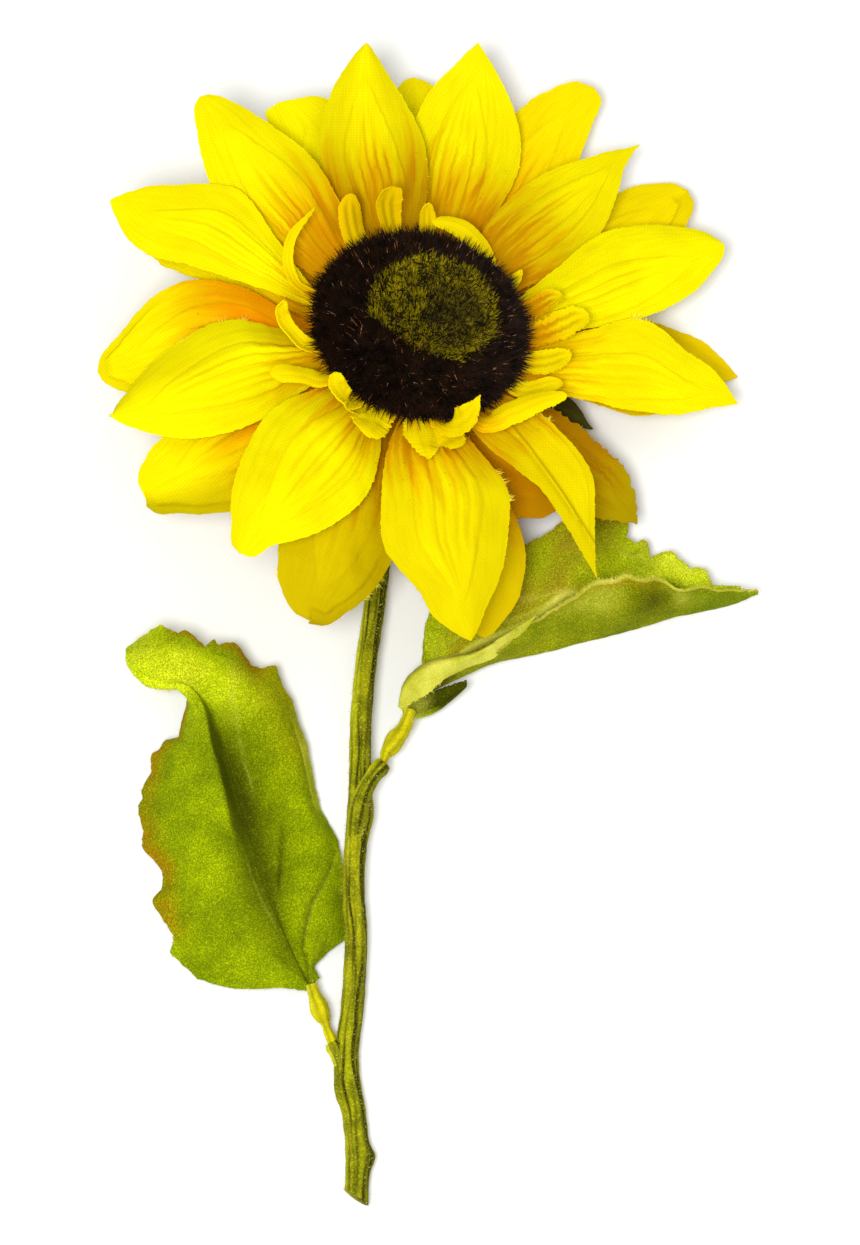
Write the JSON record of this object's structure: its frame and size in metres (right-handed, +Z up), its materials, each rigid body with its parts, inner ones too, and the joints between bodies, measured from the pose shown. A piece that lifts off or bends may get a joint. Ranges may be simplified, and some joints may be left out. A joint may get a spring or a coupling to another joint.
{
  "type": "artificial sunflower stem",
  "caption": "Artificial cut sunflower: a large fabric flower head with a domed pile centre on a short forked plastic stem with two flocked leaves, lying flat.",
  "frame": {"origin": "on the surface the piece lies on, under the middle of its bounding box", "axes": "+Z up from that surface, +Y from the cut end of the stem to the flower head, +X to the right seen from the cut end"},
  "size_m": [0.1549, 0.2802, 0.0439],
  "materials": {
    "petal_fabric": "woven polyester with a soft satin sheen",
    "leaf_fabric": "flocked fabric, dull",
    "calyx_fabric": "dull woven fabric",
    "pile": "short dense pile",
    "stem_plastic": "moulded and flocked, dull"
  },
  "bodies": {
    "root": {"stem": "stem_plastic", "fork_upper": "stem_plastic", "fork_lower": "stem_plastic", "sleeve_upper": "stem_plastic", "sleeve_lower": "stem_plastic", "leaf_left": "leaf_fabric", "leaf_left_tip": "leaf_fabric", "leaf_right_near": "leaf_fabric", "leaf_right_far": "leaf_fabric", "leaf_right_ear": "leaf_fabric", "disc": "pile", "cup": "calyx_fabric", "petal_front_1": "petal_fabric", "petal_front_2": "petal_fabric", "petal_front_3": "petal_fabric", "petal_front_4": "petal_fabric", "petal_front_5": "petal_fabric", "petal_front_6": "petal_fabric", "petal_front_7": "petal_fabric", "petal_front_8": "petal_fabric", "petal_front_9": "petal_fabric", "petal_front_10": "petal_fabric", "petal_front_11": "petal_fabric", "petal_back_1": "petal_fabric", "petal_back_2": "petal_fabric", "petal_back_3": "petal_fabric", "petal_back_4": "petal_fabric", "petal_back_5": "petal_fabric", "petal_back_6": "petal_fabric", "petal_back_7": "petal_fabric", "petal_back_8": "petal_fabric", "petal_back_9": "petal_fabric", "petal_back_10": "petal_fabric", "petal_back_11": "petal_fabric", "petal_back_12": "petal_fabric", "floret_1": "petal_fabric", "floret_2": "petal_fabric", "floret_3": "petal_fabric", "floret_4": "petal_fabric", "floret_5": "petal_fabric", "floret_6": "petal_fabric", "floret_7": "petal_fabric", "floret_8": "petal_fabric", "floret_9": "petal_fabric", "floret_10": "petal_fabric", "floret_11": "petal_fabric", "floret_12": "petal_fabric", "floret_13": "petal_fabric", "floret_14": "petal_fabric", "floret_15": "petal_fabric", "floret_16": "petal_fabric", "sepal_1": "calyx_fabric", "sepal_2": "calyx_fabric", "sepal_3": "calyx_fabric", "sepal_4": "calyx_fabric", "sepal_5": "calyx_fabric", "sepal_6": "calyx_fabric", "sepal_7": "calyx_fabric", "sepal_8": "calyx_fabric"}
  },
  "joints": []
}
